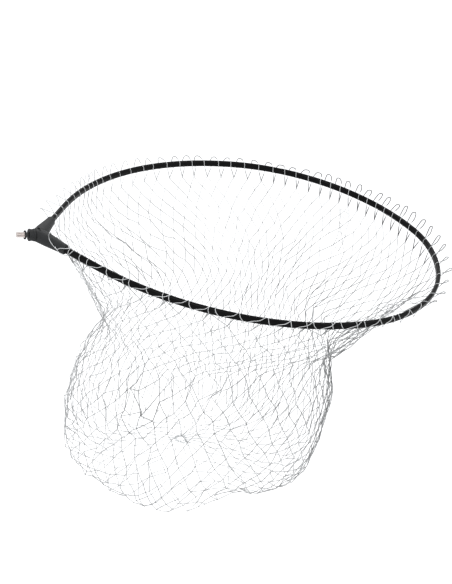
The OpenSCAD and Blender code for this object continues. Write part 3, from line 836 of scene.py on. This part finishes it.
def grained_material(name, colour, metallic=0.0, roughness=0.5, spread=0.1, grain=900.0, depth=0.2, mottle=0.15,
                     specular=0.5, coat=0.0):
    """Finish with its own grain, from the shared group"""
    made = bpy.data.materials.new(name)
    made.use_nodes = True
    made.diffuse_color = tuple(colour)
    tree = made.node_tree
    body = tree.nodes["Principled BSDF"]
    body.inputs["Metallic"].default_value = metallic
    body.inputs["Specular IOR Level"].default_value = specular
    body.inputs["Coat Weight"].default_value = coat
    group = tree.nodes.new("ShaderNodeGroup")
    group.node_tree = surface_grain()
    for key, value in (("Color", tuple(colour)), ("Mottle", mottle), ("Grain Size", grain), ("Grain Depth", depth),
                       ("Roughness", roughness), ("Roughness Spread", spread)):
        group.inputs[key].default_value = value
    wire(tree, (group, "Color", body, "Base Color"), (group, "Roughness", body, "Roughness"),
         (group, "Normal", body, "Normal"))
    return made


def mixed_colour(made, factor, output, grained, colour):
    """Leads the grained colour of a finish through a mix with a second colour; grained is 0 or 1, its side"""
    tree = made.node_tree
    body, group = tree.nodes["Principled BSDF"], next(x for x in tree.nodes if x.type == "GROUP")
    mix = tree.nodes.new("ShaderNodeMix")
    mix.data_type = "RGBA"
    sides = [socket for socket in mix.inputs if socket.type == "RGBA"]
    sides[1 - grained].default_value = tuple(colour)
    tree.links.new(group.outputs["Color"], sides[grained])
    tree.links.new(next(x for x in mix.outputs if x.type == "RGBA"), body.inputs["Base Color"])
    tree.links.new(factor.outputs[output], mix.inputs["Factor"])
    return body


def shade_painted_behind(made, colour, start):
    """Blackens a turned piece behind one place on its axis, as painted shade"""
    tree = made.node_tree
    place, part = tree.nodes.new("ShaderNodeTexCoord"), tree.nodes.new("ShaderNodeSeparateXYZ")
    front = math_node(tree, "LESS_THAN", None, start)
    body = mixed_colour(made, front, "Value", 1, colour)
    wire(tree, (place, "Object", part, "Vector"), (part, "X", front, 0), (front, "Value", body, "Metallic"))
    return made


def monofilament(pale, dark):
    """Clear drawn nylon, mixed from pale to dark by the painted light and shade stored on the twine"""
    made = grained_material("net_nylon", pale, roughness=0.2, spread=0.1, grain=300, depth=0.03, mottle=0.12, coat=0.4)
    shade = made.node_tree.nodes.new("ShaderNodeAttribute")
    shade.attribute_name = "shade"
    mixed_colour(made, shade, "Fac", 0, dark)
    return made


def dress(node, material):
    """Gives a packed node its finish"""
    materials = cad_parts[node].data.materials
    materials.clear()
    materials.append(material)


def seen_directly(tree):
    """Node that gives 1 to rays from the camera and to those sent on by gloss or glass"""
    path = tree.nodes.new("ShaderNodeLightPath")
    either, any_of = math_node(tree, "MAXIMUM"), math_node(tree, "MAXIMUM")
    wire(tree, (path, "Is Camera Ray", either, 0), (path, "Is Glossy Ray", either, 1), (either, 0, any_of, 0),
         (path, "Is Transmission Ray", any_of, 1))
    return any_of


# ---- Operators ----


class NET_OT_spreader_block(bpy.types.Operator):
    """Finish the moulded block and the pins that hold the tube in it"""

    bl_idname = "landing_net.spreader_block"
    bl_label = "Spreader Block"

    def execute(self, context):
        colours = settings("net_finishes")
        dress("spreader_block", grained_material(
            "block_plastic", colours.plastic, roughness=0.56, spread=0.16, grain=1500, depth=0.35, mottle=0.12,
            specular=0.22))
        pins = grained_material(
            "pin_steel", (0.5, 0.5, 0.5, 1), metallic=1, roughness=0.35, spread=0.2, grain=700, depth=0.1)
        dress("leg_pin_left", pins)
        dress("leg_pin_right", pins)
        return {"FINISHED"}


class NET_OT_hoop(bpy.types.Operator):
    """Finish the bent tube"""

    bl_idname = "landing_net.hoop"
    bl_label = "Hoop"

    def execute(self, context):
        colours = settings("net_finishes")
        dress("hoop_tube", grained_material(
            "tube_anodised", colours.tube, roughness=0.27, spread=0.1, grain=420, depth=0.05, mottle=0.3,
            specular=0.06))
        return {"FINISHED"}


def thread_rings(sizes, turns, end):
    """Rings of the turned stud from its tip back: place on the axis, and radius at every turn"""
    outer = sizes.diameter / 2
    rings = []
    for x in np.arange(-sizes.thread + 0.1 * MM, 0, sizes.pitch / 11):
        phase = (x / sizes.pitch + turns / (2 * math.pi)) % 1
        tooth = np.clip(np.abs(phase - 0.5) * 2.5 - 0.125, 0, 1)
        cut_off = max(0, sizes.chamfer - (x + sizes.thread))
        rings.append((x, outer - sizes.depth * (1 - smooth(tooth)) - cut_off))
    for x, radius in ((0, outer - 0.05 * MM), (0.02 * MM, sizes.shank / 2), (end, sizes.shank / 2)):
        rings.append((x, np.full(len(turns), radius)))
    return rings


def band(first, second, count):
    """Faces between two rings of points, each given by the number of its first point"""
    return [(first + a, first + (a + 1) % count, second + (a + 1) % count, second + a) for a in range(count)]


class NET_OT_stud(bpy.types.Operator):
    """Cut the thread of the stud"""

    bl_idname = "landing_net.stud"
    bl_label = "Stud"

    def execute(self, context):
        sizes, colours = settings("net_stud"), settings("net_finishes")
        end, _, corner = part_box("stud")[1]
        around, sides, anchor_start = 72, 6, end - sizes.anchor
        turns = np.linspace(0, 2 * math.pi, around, endpoint=False)
        rings = thread_rings(sizes, turns, anchor_start)
        points, faces = [], []
        for x, radius in rings:
            points += list(zip([x] * around, radius * np.cos(turns), radius * np.sin(turns)))
        for k in range(len(rings) - 1):
            faces += band(k * around, (k + 1) * around, around)
        last, tip = (len(rings) - 1) * around, len(points)
        points += [(rings[0][0], 0, 0), (rings[-1][0], 0, 0)]
        for a in range(around):
            b = (a + 1) % around
            faces += [(tip, b, a), (tip + 1, last + a, last + b)]
        # Hexagonal anchor moulded into the block
        base = len(points)
        for x in (anchor_start, end):
            for turn in 2 * math.pi * (np.arange(sides) + 0.5) / sides:
                points.append((x, corner * math.cos(turn), corner * math.sin(turn)))
        faces += band(base, base + sides, sides)
        faces += [tuple(range(base + sides - 1, base - 1, -1)), tuple(range(base + sides, base + 2 * sides))]
        mesh = mesh_from("stud_thread", points, faces)
        mesh.shade_smooth()
        mesh.set_sharp_from_angle(angle=math.radians(38))
        steel = grained_material("stud_steel", colours.steel, metallic=1, roughness=0.34, spread=0.25, grain=900,
                                 depth=0.12, mottle=0.12)
        # The shank behind the washer is blackened with the washer's colour: painted shade between washer and block
        mesh.materials.append(shade_painted_behind(steel, colours.rubber, 0.5 * MM))
        finish_piece(new_object("stud_thread", mesh), ("stud",))
        dress("stud_washer", grained_material(
            "washer_rubber", colours.rubber, roughness=0.7, spread=0.15, grain=1300, depth=0.3, specular=0.3))
        return {"FINISHED"}


class NET_OT_netting(bpy.types.Operator):
    """Knot the monofilament bag and thread its rim on the hoop"""

    bl_idname = "landing_net.netting"
    bl_label = "Netting"

    def execute(self, context):
        sizes, plan, colours = settings("net_bag_sizes"), settings("net_hoop"), settings("net_finishes")
        bag = Bag(Rim(plan), sizes)
        knots, inward, bating = knot_grid(sizes, bag)
        nylon = monofilament(colours.strand, colours.strand_painted_dark)
        rng = np.random.default_rng(17)
        chains = seam_ladder(sizes, bag) + strand_chains(knots, inward, sizes.kink, bating)
        strands = chain_mesh("net_strands", chains, lambda p: painted_net_shade(p, rng) + painted_run_shade(p, chains))
        twine = {"Radius": sizes.strand / 2, "Sides": 4, "Material": nylon}
        grown("net_strands", strands, twine_tree(), twine, ("net_bag",))
        loops = chain_mesh(
            "net_rim_loops", rim_loops(sizes, bag, knots, plan) + arm_strands(plan), lambda p: painted_loop_shade(p, plan))
        twine.update({"Radius": sizes.loop_strand / 2, "Sides": 6})
        grown("net_rim_loops", loops, twine_tree(), twine)
        tied = np.unique(knots[:-1].reshape(-1, 3).round(6), axis=0)
        spots = mesh_from("net_knots", tied, [])
        # The knots take the painted light and shade of the netting, a little darker
        add_painted_shade(spots, painted_net_shade(tied, rng) + 0.1)
        grown("net_knots", spots, knot_tree(), {"Size": sizes.knot, "Seed": 5, "Material": nylon})
        return {"FINISHED"}


class NET_OT_base_tie(bpy.types.Operator):
    """Draw the base shut with a few turns of twine, tied with two loose ends"""

    bl_idname = "landing_net.base_tie"
    bl_label = "Base Tie"

    def execute(self, context):
        sizes = settings("net_bag_sizes")
        middle = np.mean(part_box("base_tie"), axis=0)
        rng = np.random.default_rng(4)
        turns, each = 3, 14
        coil = []
        for k in range(turns * each + 5):
            a = 2 * math.pi * k / each
            r = 9.5 + 2 * math.sin(1.7 * a) + rng.uniform(-1, 1)
            coil.append((r * math.cos(a), r * math.sin(a), rng.uniform(-2.5, 2.5)))
        run = [(5, -25, -9), (8, -16, -4), *coil, (15, -6, -5), (24, -2, -10), (30, -9, -8)]
        twine = soft_run([middle + np.array(p) * MM for p in run], 3)
        grown("net_tie", chain_mesh("net_tie", [twine], lambda p: np.full(len(p), 0.35)), twine_tree(),
              {"Radius": sizes.strand / 2, "Sides": 6, "Material": bpy.data.materials["net_nylon"]},
              ("base_tie",))
        return {"FINISHED"}


class NET_OT_stage(bpy.types.Operator):
    """Set up the floor, lamps and camera"""

    bl_idname = "landing_net.stage"
    bl_label = "Stage"

    def execute(self, context):
        stage, colours = settings("net_stage"), settings("net_finishes")
        context.scene.view_settings.view_transform = "Standard"
        self.camera(context.scene, stage)
        self.world(context.scene)
        middle = Vector((0.38, 0, -0.2))
        for name, where, size, power in (
                ("key lamp", (-1.2, -1.6, 2.2), 1.6, 34), ("fill lamp", (2.0, -1.0, 1.8), 2.0, 18),
                ("back lamp", (0.6, 2.2, 1.6), 1.8, 14)):
            lamp = bpy.data.lights.new(name, "AREA")
            lamp.shape, lamp.size, lamp.energy = "SQUARE", size, power
            holder = new_object(name, lamp)
            holder.location = where
            holder.rotation_euler = (middle - Vector(where)).to_track_quat("-Z", "Y").to_euler()
        self.floor(stage, colours)
        return {"FINISHED"}

    def camera(self, scene, stage):
        camera = new_object("camera", bpy.data.cameras.new("camera"))
        camera.data.sensor_width = 36
        camera.data.sensor_fit = "HORIZONTAL"
        camera.data.lens = stage.lens
        camera.data.clip_end = 60
        turns = ((stage.azimuth, "Z"), (math.pi / 2 - stage.elevation, "X"), (stage.roll, "Z"))
        place = Matrix.Translation(stage.camera_place)
        for turn, axis in turns:
            place = place @ Matrix.Rotation(turn, 4, axis)
        camera.matrix_world = place
        scene.camera = camera

    def world(self, scene):
        """White to look at, and a softer cool light on the piece"""
        world = scene.world = bpy.data.worlds.new("soft studio")
        world.use_nodes = True
        tree = world.node_tree
        tree.nodes.clear()
        seen, lit, mix, out = (tree.nodes.new("ShaderNode" + kind) for kind in (
            "Background", "Background", "MixShader", "OutputWorld"))
        seen.inputs["Color"].default_value = (1, 1, 1, 1)
        lit.inputs["Color"].default_value = (0.95, 0.97, 1, 1)
        lit.inputs["Strength"].default_value = 0.62
        wire(tree, (seen_directly(tree), 0, mix, "Fac"), (lit, 0, mix, 1), (seen, 0, mix, 2), (mix, 0, out, "Surface"))

    def floor(self, stage, colours):
        half, depth = 14.0, -stage.floor_depth
        corners = [(x * half, y * half, depth) for x, y in ((-1, -1), (1, -1), (1, 1), (-1, 1))]
        floor = new_object("floor", mesh_from("floor", corners, [(0, 1, 2, 3)]))
        paint = bpy.data.materials.new("floor_paint")
        paint.use_nodes = True
        tree = paint.node_tree
        body = tree.nodes["Principled BSDF"]
        body.inputs["Base Color"].default_value = tuple(colours.floor)
        body.inputs["Roughness"].default_value = 0.9
        body.inputs["Specular IOR Level"].default_value = 0.1
        body.inputs["Emission Color"].default_value = (1, 1, 1, 1)
        glow = math_node(tree, "MULTIPLY", None, 0.55)
        wire(tree, (seen_directly(tree), 0, glow, 0), (glow, 0, body, "Emission Strength"))
        floor.data.materials.append(paint)


class NET_PT_panel(bpy.types.Panel):
    """Sizes, colours and steps of the landing net head"""

    bl_idname = "NET_PT_panel"
    bl_label = "Landing Net Head"
    bl_space_type = "VIEW_3D"
    bl_region_type = "UI"
    bl_category = "Landing Net"

    def draw(self, context):
        for name, group in SETTINGS.items():
            box = self.layout.box()
            box.label(text=group.__doc__)
            for key in group.__annotations__:
                box.prop(getattr(context.scene, name), key)
        for step in STEPS:
            self.layout.operator(step.bl_idname)


STEPS = (NET_OT_stage, NET_OT_spreader_block, NET_OT_hoop, NET_OT_stud, NET_OT_netting, NET_OT_base_tie)
CLASSES = (*SETTINGS.values(), *STEPS, NET_PT_panel)


def register():
    for cls in CLASSES:
        bpy.utils.register_class(cls)
    for name, group in SETTINGS.items():
        setattr(bpy.types.Scene, name, bpy.props.PointerProperty(type=group))


def unregister():
    for name in SETTINGS:
        delattr(bpy.types.Scene, name)
    for cls in reversed(CLASSES):
        bpy.utils.unregister_class(cls)


def main():
    register()
    for step in STEPS:
        group, name = step.bl_idname.split(".")
        getattr(getattr(bpy.ops, group), name)()


if __name__ == "__main__":
    main()
